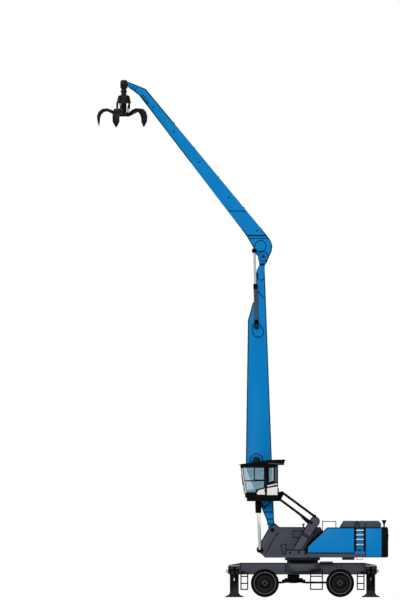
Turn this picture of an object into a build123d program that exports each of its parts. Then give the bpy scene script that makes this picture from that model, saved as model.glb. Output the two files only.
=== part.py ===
"""Wheeled material handler with five-tine grab. Millimetres, +Z up, the machine faces -X.

Lengths along X are measured from the slew axis and shifted to the box centre on export.
"""
import os
from math import atan2, cos, degrees, hypot, sin

from build123d import *

os.makedirs("parts", exist_ok=True)

SLEW_X = 2995            # slew axis ahead of the box centre


def prism(points, y0, y1):
    """Side profile of (x, z) points, pushed from y0 to y1."""
    face = Plane.XZ * Polygon(*points, align=None)
    return Pos(0, y0, 0) * extrude(face, amount=y1 - y0, dir=(0, 1, 0))


def slab(points, x0, x1):
    """End profile of (y, z) points, pushed from x0 to x1."""
    face = Plane.YZ * Polygon(*points, align=None)
    return Pos(x0, 0, 0) * extrude(face, amount=x1 - x0, dir=(1, 0, 0))


def plate(points, z0, z1):
    """Plan of (x, y) points, pushed from z0 to z1."""
    return Pos(0, 0, z0) * extrude(Polygon(*points, align=None), amount=z1 - z0, dir=(0, 0, 1))


def box(x0, x1, y0, y1, z0, z1):
    return Pos((x0 + x1) / 2, (y0 + y1) / 2, (z0 + z1) / 2) * Box(x1 - x0, y1 - y0, z1 - z0)


def rod_x(y, z, r, x0, x1):
    return Pos((x0 + x1) / 2, y, z) * Rot(0, 90, 0) * Cylinder(r, x1 - x0)


def rod_y(x, z, r, y0, y1):
    return Pos(x, (y0 + y1) / 2, z) * Rot(90, 0, 0) * Cylinder(r, y1 - y0)


def rod_z(x, y, r, z0, z1):
    return Pos(x, y, (z0 + z1) / 2) * Cylinder(r, z1 - z0)


def strap(p, q, half, y0, y1):
    """Flat bar between two (x, z) points, with the given half depth."""
    dx = q[0] - p[0]
    dz = q[1] - p[1]
    length = hypot(dx, dz)
    nx = -dz / length * half
    nz = dx / length * half
    corners = [
        (p[0] + nx, p[1] + nz),
        (q[0] + nx, q[1] + nz),
        (q[0] - nx, q[1] - nz),
        (p[0] - nx, p[1] - nz),
    ]
    return prism(corners, y0, y1)


def turn(points, x, z):
    """Round piece about a line along Y, from (radius, y) points."""
    return Pos(x, 0, z) * revolve(Polygon(*points, align=None), Axis.Y)


def other_side(shape):
    return mirror(shape, Plane.XZ)


def both_sides(shape):
    return shape + other_side(shape)


def ram(start, end, axis, size):
    """Barrel and rod of one cylinder, its pins along axis, in the placing frame."""
    reach = Vector(*end) - Vector(*start)
    length = reach.length
    spot = Plane(origin=start, x_dir=axis, z_dir=reach).location
    lie = Rot(0, 90, 0)
    tail = size["eye_r"] * 0.6
    mouth = size["barrel"]
    barrel = Pos(0, 0, (tail + mouth) / 2) * Cylinder(size["barrel_r"], mouth - tail)
    gland = size["gland"]
    barrel += Pos(0, 0, mouth - gland / 2) * Cylinder(size["barrel_r"] * 1.12, gland)
    barrel += lie * Cylinder(size["eye_r"], size["eye_w"])
    barrel -= lie * Cylinder(size["pin_r"] + 1, size["eye_w"] * 3)
    deep = size["bore"]
    barrel -= Pos(0, 0, (deep + mouth + 50) / 2) * Cylinder(size["rod_r"] + 1, mouth + 50 - deep)
    begin = size["rod_from"]
    rod = Pos(0, 0, (begin + length) / 2) * Cylinder(size["rod_r"], length - begin)
    rod += Pos(0, 0, length) * lie * Cylinder(size["rod_eye_r"], size["rod_eye_w"])
    return spot * barrel, spot * rod


def save(name, shape):
    export_step(Pos(SLEW_X, 0, 0) * shape, "parts/" + name + ".step")


# Undercarriage

WHEEL_X = 1880           # half the wheelbase
WHEEL_R = 705
RIM_R = 535
TYRE_W = 375
INNER_TYRE_Y = 940
OUTER_TYRE_Y = 1375
SHOULDER = 60            # width of the tyre's sloped shoulder
LUGS = 24                # tread lugs round one shoulder
GROOVE_W = 55
GROOVE_DEEP = 30
GROOVE_LONG = 135
KINGPIN_Y = 1050
STUB_R = 130
STUB_END_Y = 1555
CHASSIS_TOP = 1725
CHASSIS_BOTTOM = 1135
CHASSIS_HALF_W = 600
CHASSIS_END_X = 3150
HOUSING_END_X = 3725
TURRET_HALF_W = 1150
LEG_X = 3410             # middle of an outrigger along the machine
LEG_HALF = 225
LEG_PIN = (480, 1235)    # (y, z) of the leg's hinge
LEG_RAM_PIN = (520, 1450)
LEG_ROD_PIN = (1800, 760)
PAD_Y = 2450
PAD_HALF_L = 455
PAD_HALF_W = 250
RAIL_W = 60              # width of the ladders' rails and rungs


def tyre():
    """Tyre about the wheel's middle, its inner side wall at y = 0, with grooves between the tread lugs."""
    profile = [
        (RIM_R + 0.4, 35),
        (600, 0),
        (665, 8),
        (WHEEL_R, SHOULDER),
        (WHEEL_R, TYRE_W - SHOULDER),
        (665, TYRE_W - 8),
        (600, TYRE_W),
        (RIM_R + 0.4, TYRE_W - 35),
    ]
    shape = turn(profile, 0, 0)
    pitch = 360 / LUGS
    groove = box(WHEEL_R - GROOVE_DEEP, WHEEL_R + 20, 0, GROOVE_LONG, -GROOVE_W / 2, GROOVE_W / 2)
    cuts = []
    for lug in range(LUGS):
        cuts.append(Rot(0, pitch * lug, 0) * Pos(0, -5, 0) * groove)
        cuts.append(Rot(0, pitch * (lug + 0.5), 0) * Pos(0, TYRE_W - GROOVE_LONG + 5, 0) * groove)
    return shape - cuts


def rim(x):
    profile = [
        (505, 945),
        (RIM_R, 945),
        (RIM_R, 1745),
        (515, 1745),
        (505, 1725),
        (490, 1490),
        (250, 1470),
        (250, 1600),
        (170, 1600),
        (170, 1680),
        (90, 1680),
        (90, 1720),
        (0, 1720),
        (0, 1560),
        (STUB_R + 1, 1560),
        (STUB_R + 1, 1250),
        (240, 1250),
        (240, 1410),
        (505, 1430),
    ]
    return turn(profile, x, WHEEL_R)


def wheel_nodes():
    one = tyre()
    for end, x in (("front", -WHEEL_X), ("rear", WHEEL_X)):
        rubber = Compound([Pos(x, y, WHEEL_R) * one for y in (INNER_TYRE_Y, OUTER_TYRE_Y)])
        steel = rim(x)
        save("tyres_" + end + "_right", rubber)
        save("tyres_" + end + "_left", other_side(rubber))
        save("rims_" + end + "_right", steel)
        save("rims_" + end + "_left", other_side(steel))


def axle_nodes():
    x = -WHEEL_X
    knuckle = rod_z(x, KINGPIN_Y, 120, WHEEL_R - 170, WHEEL_R + 170)
    knuckle += rod_y(x, WHEEL_R, STUB_R, KINGPIN_Y, STUB_END_Y)
    knuckle += box(x, x + 260, KINGPIN_Y - 95, KINGPIN_Y - 25, WHEEL_R - 60, WHEEL_R + 10)
    knuckle -= rod_z(x, KINGPIN_Y, 61, WHEEL_R - 200, WHEEL_R + 200)
    save("knuckle_right", knuckle)
    save("knuckle_left", other_side(knuckle))

    yoke = box(x - 150, x + 150, 730, 800, WHEEL_R - 250, WHEEL_R + 250)
    for low in (WHEEL_R - 250, WHEEL_R + 175):
        yoke += box(x - 100, x + 100, 790, KINGPIN_Y, low, low + 75)
        yoke += rod_z(x, KINGPIN_Y, 100, low, low + 75)
    yoke += rod_z(x, KINGPIN_Y, 60, WHEEL_R - 255, WHEEL_R + 255)
    beam = box(x - 140, x + 140, -740, 740, WHEEL_R - 130, WHEEL_R + 130)
    beam += rod_x(0, WHEEL_R, 270, x - 170, x + 170)
    beam += box(x - 210, x + 210, -240, 240, WHEEL_R + 100, CHASSIS_BOTTOM)
    beam += rod_y(x - 215, WHEEL_R + 60, 55, -420, 420)
    beam += box(x - 230, x - 130, -60, 60, WHEEL_R + 20, WHEEL_R + 110)
    save("front_axle", beam + both_sides(yoke))

    x = WHEEL_X
    axle = box(x - 140, x + 140, -900, 900, WHEEL_R - 130, WHEEL_R + 130)
    axle += rod_x(0, WHEEL_R, 270, x - 170, x + 170)
    end = rod_y(x, WHEEL_R, 210, 880, 1240) + rod_y(x, WHEEL_R, STUB_R, 1240, STUB_END_Y)
    end += box(x - 130, x + 130, 330, 560, WHEEL_R + 100, CHASSIS_BOTTOM)
    save("rear_axle", axle + both_sides(end))


def driveline_node():
    gear = box(-750, -150, -230, 230, 860, CHASSIS_BOTTOM)
    gear += rod_x(0, 880, 180, -640, -260)
    gear += rod_x(0, 840, 120, -900, 20)
    gear += rod_x(0, 790, 95, -1030, -880) + rod_x(0, 790, 95, 0, 150)
    gear += rod_x(0, 735, 52, -WHEEL_X + 170, -1030)
    gear += rod_x(0, 735, 52, 150, WHEEL_X - 170)
    save("driveline", gear)


def leg_housing():
    cover = [
        (CHASSIS_END_X - 40, 1570),
        (CHASSIS_END_X - 40, 1718),
        (3640, 1620),
        (HOUSING_END_X, 1560),
        (HOUSING_END_X, 1185),
        (3690, 1185),
        (3690, 1535),
        (3625, 1572),
    ]
    shape = prism(cover, -640, 640)
    shape += box(CHASSIS_END_X - 30, CHASSIS_END_X, -720, 720, CHASSIS_BOTTOM, 1640)
    shape += box(CHASSIS_END_X - 10, 3700, -25, 25, CHASSIS_BOTTOM, 1560)
    wing = [(640, 1185), (640, 1540), (720, 1480), (720, 1185)]
    shape += both_sides(slab(wing, 3690, HOUSING_END_X))
    pins = rod_x(LEG_PIN[0], LEG_PIN[1], 55, CHASSIS_END_X - 10, 3700)
    pins += rod_x(LEG_RAM_PIN[0], LEG_RAM_PIN[1], 40, CHASSIS_END_X - 10, 3700)
    shape += both_sides(pins)
    eye = box(HOUSING_END_X - 10, HOUSING_END_X + 90, 300, 340, 1230, 1370)
    eye -= rod_y(HOUSING_END_X + 40, 1300, 30, 200, 500)
    return shape + both_sides(eye)


def chassis_node():
    side = [
        (-CHASSIS_END_X, CHASSIS_BOTTOM),
        (-CHASSIS_END_X, 1718),
        (-3125, CHASSIS_TOP),
        (3125, CHASSIS_TOP),
        (CHASSIS_END_X, 1718),
        (CHASSIS_END_X, CHASSIS_BOTTOM),
    ]
    shape = prism(side, -CHASSIS_HALF_W, CHASSIS_HALF_W)
    turret = [
        (-900, -620),
        (-600, -TURRET_HALF_W),
        (600, -TURRET_HALF_W),
        (900, -620),
        (900, 620),
        (600, TURRET_HALF_W),
        (-600, TURRET_HALF_W),
        (-900, 620),
    ]
    shape += plate(turret, 1300, CHASSIS_TOP)
    front = leg_housing()
    shape += front + mirror(front, Plane.YZ)
    arms = box(2880, 3120, 590, 1640, 1190, 1310)
    arms = both_sides(arms)
    shape += arms + mirror(arms, Plane.YZ)
    shape += box(855, 1525, -1000, -560, 1715, 1735) + box(855, 1525, -1000, -600, 1735, 1790)
    for x in (-825, 800):
        shape -= box(x - 90, x + 90, -1200, -1135, 1345, 1375)
    save("chassis", shape)


def ladder(x0, x1, y0, y1, rungs, z0, z1):
    shape = box(x0, x0 + RAIL_W, y0, y1, z0, z1) + box(x1 - RAIL_W, x1, y0, y1, z0, z1)
    for z in rungs:
        shape += box(x0 + 10, x1 - 10, y0, y1, z - RAIL_W / 2, z + RAIL_W / 2)
    return shape


def ladder_node():
    end = ladder(2710, 3105, 1650, 1780, (390, 690, 1040), 370, 1240)
    end += box(2900, 3105, 1640, 1700, 1200, 1300)
    end += mirror(end, Plane.YZ)
    middle = ladder(375, 1025, 1290, 1400, (395, 745, 1045), 370, 1390)
    middle += box(375, 1025, 1150, 1400, 1350, 1390)
    save("chassis_ladders", both_sides(end + middle))


def slew_ring_node():
    ring = rod_z(0, 0, 780, CHASSIS_TOP, 1845)
    ring -= rod_z(0, 0, 600, CHASSIS_TOP - 10, 1900)
    save("slew_ring", ring)


LEG_RAM = {
    "barrel_r": 65,
    "rod_r": 42,
    "eye_r": 75,
    "eye_w": 110,
    "pin_r": 40,
    "barrel": 1040,
    "gland": 70,
    "bore": 260,
    "rod_from": 640,
    "rod_eye_r": 68,
    "rod_eye_w": 100,
}


def leg():
    side = [
        (380, 1160),
        (440, 1115),
        (560, 1110),
        (1000, 860),
        (2290, 190),
        (2580, 190),
        (2580, 330),
        (2420, 430),
        (1900, 845),
        (1730, 845),
        (1560, 760),
        (900, 1130),
        (560, 1350),
        (440, 1355),
        (380, 1310),
    ]
    inner = LEG_HALF - 55
    shape = slab(side, LEG_X - LEG_HALF, LEG_X - inner) + slab(side, LEG_X + inner, LEG_X + LEG_HALF)
    floor = [(1000, 860), (2290, 190), (2580, 190), (2580, 330), (2300, 240), (1020, 895)]
    shape += slab(floor, LEG_X - inner - 5, LEG_X + inner + 5)
    shape -= rod_x(LEG_PIN[0], LEG_PIN[1], 56, LEG_X - 400, LEG_X + 400)
    foot = [
        (LEG_X - PAD_HALF_L, 0),
        (LEG_X + PAD_HALF_L, 0),
        (LEG_X + PAD_HALF_L, 45),
        (LEG_X + 300, 110),
        (LEG_X + 215, 215),
        (LEG_X - 215, 215),
        (LEG_X - 300, 110),
        (LEG_X - PAD_HALF_L, 45),
    ]
    return shape + prism(foot, PAD_Y - PAD_HALF_W, PAD_Y + PAD_HALF_W)


def leg_nodes():
    start = (LEG_X, LEG_RAM_PIN[0], LEG_RAM_PIN[1])
    end = (LEG_X, LEG_ROD_PIN[0], LEG_ROD_PIN[1])
    barrel, rod = ram(start, end, (1, 0, 0), LEG_RAM)
    for piece, shape in (("leg", leg()), ("leg_barrel", barrel), ("leg_rod", rod)):
        for side, made in (("right", shape), ("left", other_side(shape))):
            save("rear_" + side + "_" + piece, made)
            save("front_" + side + "_" + piece, mirror(made, Plane.YZ))


wheel_nodes()
axle_nodes()
driveline_node()
chassis_node()
ladder_node()
slew_ring_node()
leg_nodes()


# Upper carriage

BOOM_PIN = (-1515, 3370)
LUG_PIN = (-2135, 2375)      # lower pins of the boom cylinders
TOWER_IN = 370
TOWER_OUT = 450
SILL_TOP = 2195
DECK_Z = 1985
HOUSE_HALF_W = 1450
HOUSE_TOP = 3490
HOUSE_BACK = 3950
SHEET = 40               # thickness of the engine house panels
NICHE_FRONT = 2615       # ladder recess in the left side
NICHE_BACK = 3125
NICHE_DEPTH = 150
NICHE_FLOOR = 2285
RAIL_INSET = 45          # middle of the handrails inside the house's side
TAIL_X = 4290
LAMP_X = 4080            # warning lamp on the counterweight
LOWER_PIVOT = (435, 3730)    # cab arms on the riser
UPPER_PIVOT = (605, 4040)
LOWER_CAB_PIN = (-1160, 4910)
UPPER_CAB_PIN = (-990, 5220)
ARM_Y = -1260                # middle of the cab arms
LIFT_PIN = (520, 3480)
LIFT_EYE = (-325, 4292)


def upper_frame_node():
    tower = [
        (-2010, 2110),
        (-2130, 2215),
        (-2262, 2475),
        (-1700, 3440),
        (-1640, 3565),
        (-1345, 3680),
        (-1155, 3508),
        (900, 3508),
        (980, 3330),
        (200, 2593),
        (200, 2000),
        (-1900, 2000),
    ]
    side = prism(tower, TOWER_IN, TOWER_OUT)
    side += rod_y(LUG_PIN[0], LUG_PIN[1], 165, TOWER_IN, TOWER_OUT)
    side += rod_y(BOOM_PIN[0], BOOM_PIN[1], 125, TOWER_OUT, TOWER_OUT + 30)
    rib = [(-1900, 2480), (-1610, 3270), (-1480, 3210), (-1760, 2480)]
    side += prism(rib, TOWER_OUT, TOWER_OUT + 14)
    shape = both_sides(side)
    shape += rod_y(BOOM_PIN[0], BOOM_PIN[1], 80, -TOWER_OUT - 10, TOWER_OUT + 10)
    shape += box(-1900, 225, -620, 620, 1975, 2110)
    shape += box(60, 200, -TOWER_IN, TOWER_IN, 2100, 3508)
    shape += box(-1100, 100, -TOWER_IN, TOWER_IN, 3465, 3508)
    shape += strap((-2080, 2330), (-1790, 2950), 22, -TOWER_IN, TOWER_IN)
    shape += box(-900, 225, -1560, -400, 1985, 2120)
    rails = box(200, 3125, -HOUSE_HALF_W, -HOUSE_HALF_W + 250, DECK_Z, SILL_TOP)
    rails += box(200, 3120, -560, -440, DECK_Z, SILL_TOP)
    shape += both_sides(rails)
    shape += box(200, 3125, -HOUSE_HALF_W, HOUSE_HALF_W, SILL_TOP - 40, SILL_TOP)
    shape += box(3100, HOUSE_BACK, -560, 560, DECK_Z, DECK_Z + 40)
    ring = rod_z(0, 0, 878, 1845, 2000) - rod_z(0, 0, 640, 1800, 2000)
    shape += ring + rod_z(0, 0, 900, 1985, 2030)
    shape += box(1975, 2600, -900, -300, 1862, 2000)
    shape += rod_z(45, -410, 38, 3500, 3610) + rod_z(45, -410, 62, 3600, 3680)
    save("upper_frame", shape)


def house_nodes():
    """Engine house of sheet panels, with the ladder recess in its left side."""
    inner = HOUSE_HALF_W - SHEET
    niche_y = -HOUSE_HALF_W + NICHE_DEPTH
    nose = [(225, SILL_TOP), (235, 2545), (1235, HOUSE_TOP)]
    front = nose + [(NICHE_FRONT, HOUSE_TOP), (NICHE_FRONT, SILL_TOP)]
    rear = [
        (NICHE_BACK, DECK_Z + SHEET),
        (NICHE_BACK, HOUSE_TOP),
        (HOUSE_BACK, HOUSE_TOP),
        (HOUSE_BACK, DECK_Z + SHEET),
    ]
    panels = []
    for outline in (front, rear):
        sheet = prism(outline, inner, HOUSE_HALF_W)
        panels += [sheet, other_side(sheet)]
    panels.append(box(NICHE_FRONT, NICHE_BACK, inner, HOUSE_HALF_W, SILL_TOP, HOUSE_TOP))
    panels.append(box(NICHE_FRONT, NICHE_BACK, niche_y, niche_y + SHEET, SILL_TOP, HOUSE_TOP))
    panels.append(box(NICHE_FRONT, NICHE_BACK, -HOUSE_HALF_W, niche_y, SILL_TOP, NICHE_FLOOR))
    for x0, x1 in ((NICHE_FRONT - SHEET, NICHE_FRONT), (NICHE_BACK, NICHE_BACK + SHEET)):
        panels.append(box(x0, x1, -inner, niche_y + SHEET, SILL_TOP, HOUSE_TOP - SHEET))
    top_front = [(1235, HOUSE_TOP), (1235 + SHEET, HOUSE_TOP - SHEET), (NICHE_FRONT, HOUSE_TOP - SHEET)]
    top_front.append((NICHE_FRONT, HOUSE_TOP))
    panels.append(prism(top_front, -inner, inner))
    panels.append(box(NICHE_FRONT, NICHE_BACK, niche_y + SHEET, inner, HOUSE_TOP - SHEET, HOUSE_TOP))
    panels.append(box(NICHE_BACK, HOUSE_BACK, -inner, inner, HOUSE_TOP - SHEET, HOUSE_TOP))
    under_nose = (nose[1][0] + SHEET, nose[1][1] - 12)
    slope = [nose[1], nose[2], (nose[2][0] + SHEET, HOUSE_TOP - SHEET), under_nose]
    panels.append(prism(slope, -inner, inner))
    chin = [nose[0], nose[1], under_nose, (nose[0][0] + SHEET, SILL_TOP)]
    panels.append(prism(chin, -inner, inner))
    panels.append(box(HOUSE_BACK - SHEET, HOUSE_BACK, -inner, inner, DECK_Z + SHEET, HOUSE_TOP - SHEET))
    save("engine_house", Compound(panels))

    lid = [(1865, HOUSE_TOP), (1865, 3545), (2040, 3825), (3795, 3825), (3930, 3690), (3930, HOUSE_TOP)]
    under = [
        (1925, HOUSE_TOP - 5),
        (1925, 3530),
        (2065, 3790),
        (3780, 3790),
        (3895, 3675),
        (3895, HOUSE_TOP - 5),
    ]
    hood = prism(lid, -1150, 1150) - prism(under, -1115, 1115)
    for x in (2600, 2825, 3125):
        hood -= box(x, x + 30, -1200, 1200, 3800, 3900)
    grille = box(2655, 2795, -1160, 1160, 3560, 3780)
    hood -= grille
    hood += box(2640, 2810, -20, 20, HOUSE_TOP, 3800)
    for row in range(5):
        z = 3575 + row * 44
        hood += box(2650, 2800, -1145, 1145, z, z + 16)
    save("engine_hood", hood)

    block = [
        (HOUSE_BACK, 1985),
        (4250, 1985),
        (TAIL_X, 2060),
        (TAIL_X, 3380),
        (4240, 3510),
        (HOUSE_BACK, 3510),
    ]
    weight = prism(block, -HOUSE_HALF_W, HOUSE_HALF_W)
    for row in range(4):
        z = 2350 + row * 230
        weight -= box(TAIL_X - 25, TAIL_X + 20, -1100, 1100, z, z + 110)
    lamp_y = -HOUSE_HALF_W + 120
    weight += rod_z(LAMP_X, lamp_y, 40, 3500, 3660)
    weight += Pos(LAMP_X, lamp_y, 3755) * Cone(45, 125, 210)
    save("counterweight", weight)

    save("engine", box(1500, 3000, -480, 480, SILL_TOP, 3150))


def riser_node():
    base = [(-875, 2120), (-850, 2320), (-770, 2375), (110, 2375), (155, 2320), (155, 2120)]
    shape = prism(base, -1520, -TOWER_OUT - 14)
    shape += strap((-290, 2363), (190, 3117), 215, ARM_Y - 125, ARM_Y + 125)
    shape += strap((-60, 2340), (480, 3190), 55, ARM_Y - 125, ARM_Y + 125)
    for y in (ARM_Y - 125, ARM_Y + 65):
        shape += strap((140, 3038), (615, 3785), 215, y, y + 60)
        shape += rod_y(615, 3785, 250, y, y + 60)
        shape += strap((500, 3790), UPPER_PIVOT, 95, y, y + 60)
        shape += rod_y(UPPER_PIVOT[0], UPPER_PIVOT[1], 95, y, y + 60)
    shape += box(760, 830, ARM_Y - 125, ARM_Y + 125, 3700, 3870)
    for point in (LOWER_PIVOT, UPPER_PIVOT):
        for y0, y1 in ((ARM_Y - 215, ARM_Y - 65), (ARM_Y + 65, ARM_Y + 215)):
            shape += rod_y(point[0], point[1], 40, y0, y1)
    shape += rod_y(LIFT_PIN[0], LIFT_PIN[1], 30, ARM_Y - 130, ARM_Y + 130)
    save("cab_riser", shape)


def rail_node():
    y0 = -HOUSE_HALF_W + RAIL_INSET - 20
    y1 = y0 + 40
    post = [(975, 3244.3), (1015, 3282.1), (1015, 3790), (975, 3790)]
    shape = prism(post, y0, y1) + box(1650, 1690, y0, y1, HOUSE_TOP, 3790)
    shape += box(975, 1690, y0, y1, 3770, 3810)
    shape = both_sides(shape)
    for z in (2600, 2860, 3090, 3315):
        shape += box(NICHE_FRONT, NICHE_BACK, -HOUSE_HALF_W + 5, -HOUSE_HALF_W + NICHE_DEPTH, z, z + 60)
    for x in (2690, 3010):
        shape += box(x, x + 25, y0 - 5, y1 - 15, 1880, DECK_Z)
    shape += box(2690, 3035, y0 - 5, y1 + 55, 1880, 1910)
    save("handrails", shape)


def arm_shape(pivot, pin, tie):
    shape = None
    for y in (ARM_Y - 210, ARM_Y + 140):
        one = strap(pivot, pin, 62, y, y + 70)
        one += rod_y(pivot[0], pivot[1], 72, y, y + 70) + rod_y(pin[0], pin[1], 72, y, y + 70)
        one -= rod_y(pivot[0], pivot[1], 41, y - 20, y + 90)
        one -= rod_y(pin[0], pin[1], 41, y - 20, y + 90)
        shape = one if shape is None else shape + one
    spot = (pivot[0] + (pin[0] - pivot[0]) * tie, pivot[1] + (pin[1] - pivot[1]) * tie)
    return shape + rod_y(spot[0], spot[1], 42, ARM_Y - 145, ARM_Y + 145)


LIFT_RAM = {
    "barrel_r": 50,
    "rod_r": 32,
    "eye_r": 62,
    "eye_w": 100,
    "pin_r": 30,
    "barrel": 760,
    "gland": 60,
    "bore": 150,
    "rod_from": 440,
    "rod_eye_r": 55,
    "rod_eye_w": 90,
}


def cab_arm_nodes():
    save("cab_lower_arm", arm_shape(LOWER_PIVOT, LOWER_CAB_PIN, 0.72))
    save("cab_upper_arm", arm_shape(UPPER_PIVOT, UPPER_CAB_PIN, 0.72))
    start = (LIFT_PIN[0], ARM_Y, LIFT_PIN[1])
    end = (LIFT_EYE[0], ARM_Y, LIFT_EYE[1])
    barrel, rod = ram(start, end, (0, 1, 0), LIFT_RAM)
    save("cab_lift_barrel", barrel)
    save("cab_lift_rod", rod)


# Cab

CAB_OUT = -1800
CAB_IN = -750
CAB_FLOOR = 5040
CAB_TOP = 6600
SKIN = 45
DOOR_EDGE = -1850            # rear edge of the door, at the middle pillar
HINGE_Y = -1826
HINGES_Z = (5250, 6330)


def cab_nodes():
    outline = [
        (-2850, CAB_FLOOR - 80),
        (-3100, 6480),
        (-3110, CAB_TOP),
        (-1220, CAB_TOP),
        (-1220, 5460),
        (-1180, 5440),
        (-1180, CAB_FLOOR),
        (-1290, CAB_FLOOR - 80),
    ]
    inside = [
        (-2803, CAB_FLOOR),
        (-3054, 6480),
        (-3064, CAB_TOP + 50),
        (-1266, CAB_TOP + 50),
        (-1266, 5440),
        (-1226, 5420),
        (-1226, CAB_FLOOR),
    ]
    hull = prism(outline, CAB_OUT, CAB_IN)
    below = box(-3300, -800, CAB_OUT - 50, CAB_IN + 50, CAB_FLOOR - 400, CAB_FLOOR)
    pan = hull & below
    shape = hull - prism(inside, CAB_OUT + SKIN, CAB_IN - SKIN) - below
    for y0, y1 in ((-1780, -1600), (-950, -770)):
        pan += box(-2785, -1300, y0, y1, 4795, CAB_FLOOR - 70)
    pan += box(-2600, -2500, -1610, -940, 4830, CAB_FLOOR - 70)
    bracket = [
        (-1300, 4800),
        (-1130, 4800),
        (-1085, 4860),
        (-915, 5180),
        (-940, 5290),
        (-1050, 5300),
        (-1200, 5250),
    ]
    pan += prism(bracket, ARM_Y - 125, ARM_Y + 125) - hull
    pan += box(-1400, -1250, ARM_Y - 125, ARM_Y + 125, 4800, CAB_FLOOR - 70)
    for point in (LOWER_CAB_PIN, UPPER_CAB_PIN):
        pan += rod_y(point[0], point[1], 40, ARM_Y - 215, ARM_Y + 215)

    door_hole = [(-2796, 5100), (-3030, 6540), (DOOR_EDGE, 6540), (DOOR_EDGE, 5100)]
    shape -= prism(door_hole, CAB_OUT - 5, CAB_OUT + SKIN + 5)
    quarter = [(-1675, 5760), (-1675, 6470), (-1455, 6470), (-1455, 5820)]
    shape -= prism(quarter, CAB_OUT - 5, CAB_OUT + SKIN + 5)
    right = [(-2790, 5350), (-2985, 6500), (-1330, 6500), (-1330, 5560)]
    shape -= prism(right, CAB_IN - SKIN - 5, CAB_IN + 5)
    screen = [(-2900, 5110), (-3130, 6470), (-2990, 6470), (-2760, 5110)]
    shape -= prism(screen, CAB_OUT + 70, CAB_IN - 70)
    shape -= box(-1280, -1210, -1650, -900, 5620, 6470)
    for z in HINGES_Z:
        shape += rod_z(DOOR_EDGE, HINGE_Y, 18, z, z + 40) + rod_z(DOOR_EDGE, HINGE_Y, 10, z, z + 120)
        shape += box(DOOR_EDGE, DOOR_EDGE + 70, HINGE_Y - 8, CAB_OUT + 1, z, z + 40)
    save("cab_shell", Compound([shape, pan]))

    front = [(-2860, 5110), (-3085.3, 6470), (-3073.3, 6470), (-2848, 5110)]
    glass = prism(front, CAB_OUT + 70, CAB_IN - 70)
    glass += prism(right, CAB_IN - 30, CAB_IN - 18)
    glass += prism(quarter, CAB_OUT + 18, CAB_OUT + 30)
    glass += box(-1250, -1238, -1650, -900, 5620, 6470)
    save("cab_glass", glass)

    roof = [(-3175, 6600), (-3175, 6640), (-1680, 6870), (-880, 6890), (-865, 6850), (-940, 6600)]
    hollow = [(-2990, 6590), (-2990, 6625), (-1690, 6828), (-1270, 6838), (-1270, 6590)]
    top = prism(roof, CAB_OUT - 10, CAB_IN + 10) - prism(hollow, CAB_OUT + 50, CAB_IN - 50)
    top += box(-2500, -2300, -1450, -1100, 6730, 6790)
    save("cab_roof", top)

    leaf = [(-2787, 5106), (-3021, 6534), (DOOR_EDGE - 6, 6534), (DOOR_EDGE - 6, 5106)]
    door = prism(leaf, CAB_OUT, CAB_OUT + 40)
    panes = [
        [(-2885, 5850), (-2968, 6475), (-2435, 6475), (-2435, 5850)],
        [(-2385, 5880), (-2385, 6475), (-1930, 6475), (-1930, 5880)],
        [(-2795, 5250), (-2880, 5790), (-1930, 5800), (-1930, 5480), (-2310, 5390), (-2370, 5250)],
    ]
    glass = None
    for pane in panes:
        door -= prism(pane, CAB_OUT - 5, CAB_OUT + 45)
        sheet = prism(pane, CAB_OUT + 14, CAB_OUT + 24)
        glass = sheet if glass is None else glass + sheet
    door += box(-2700, -2500, CAB_OUT - 30, CAB_OUT + 5, 5810, 5835)
    for z in HINGES_Z:
        door += box(DOOR_EDGE - 60, DOOR_EDGE, HINGE_Y - 8, CAB_OUT + 1, z + 42, z + 120)
        door += rod_z(DOOR_EDGE, HINGE_Y, 18, z + 42, z + 120)
        door -= rod_z(DOOR_EDGE, HINGE_Y, 10.4, z + 30, z + 140)
    save("cab_door", door)
    save("cab_door_glass", glass)

    seat = box(-2200, -1750, -1460, -1060, CAB_FLOOR, 5380)
    seat += box(-2330, -1720, -1530, -990, 5370, 5500)
    seat += prism([(-1760, 5480), (-1640, 6200), (-1500, 6200), (-1600, 5400)], -1510, -1010)
    seat += prism([(-1640, 6150), (-1620, 6380), (-1510, 6380), (-1530, 6150)], -1400, -1120)
    for y in (-1650, -980):
        seat += box(-2480, -1800, y, y + 110, 5560, 5660)
        seat += box(-2000, -1850, y, y + 110, 5400, 5600)
        seat += box(-2000, -1850, min(y, -1530), max(y + 110, -1000), 5400, 5480)
        seat += rod_z(-2400, y + 55, 22, 5650, 5820)
    save("operator_seat", seat)


upper_frame_node()
house_nodes()
riser_node()
rail_node()
cab_arm_nodes()
cab_nodes()


# Boom and stick

HEAD_PIN = (-1965, 17035)
BOOM_HALF_W = 350
TONGUE_HALF_W = 235
BOOM_RAM_PIN = (-2300, 6860)
BOOM_RAM_Y = 545
STICK_RAM_PIN = (-2305, 13540)
STICK_EYE = (-2405, 17325)
STICK_RAM_Y = 480
NOSE_PIN = (-8925, 25685)
NOSE_HALF_W = 100

BOOM_RAM = {
    "barrel_r": 135,
    "rod_r": 82,
    "eye_r": 165,
    "eye_w": 220,
    "pin_r": 75,
    "barrel": 2650,
    "gland": 560,
    "bore": 220,
    "rod_from": 1480,
    "rod_eye_r": 160,
    "rod_eye_w": 96,
}
STICK_RAM = {
    "barrel_r": 95,
    "rod_r": 64,
    "eye_r": 130,
    "eye_w": 176,
    "pin_r": 60,
    "barrel": 2120,
    "gland": 250,
    "bore": 250,
    "rod_from": 1250,
    "rod_eye_r": 120,
    "rod_eye_w": 150,
}


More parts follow.
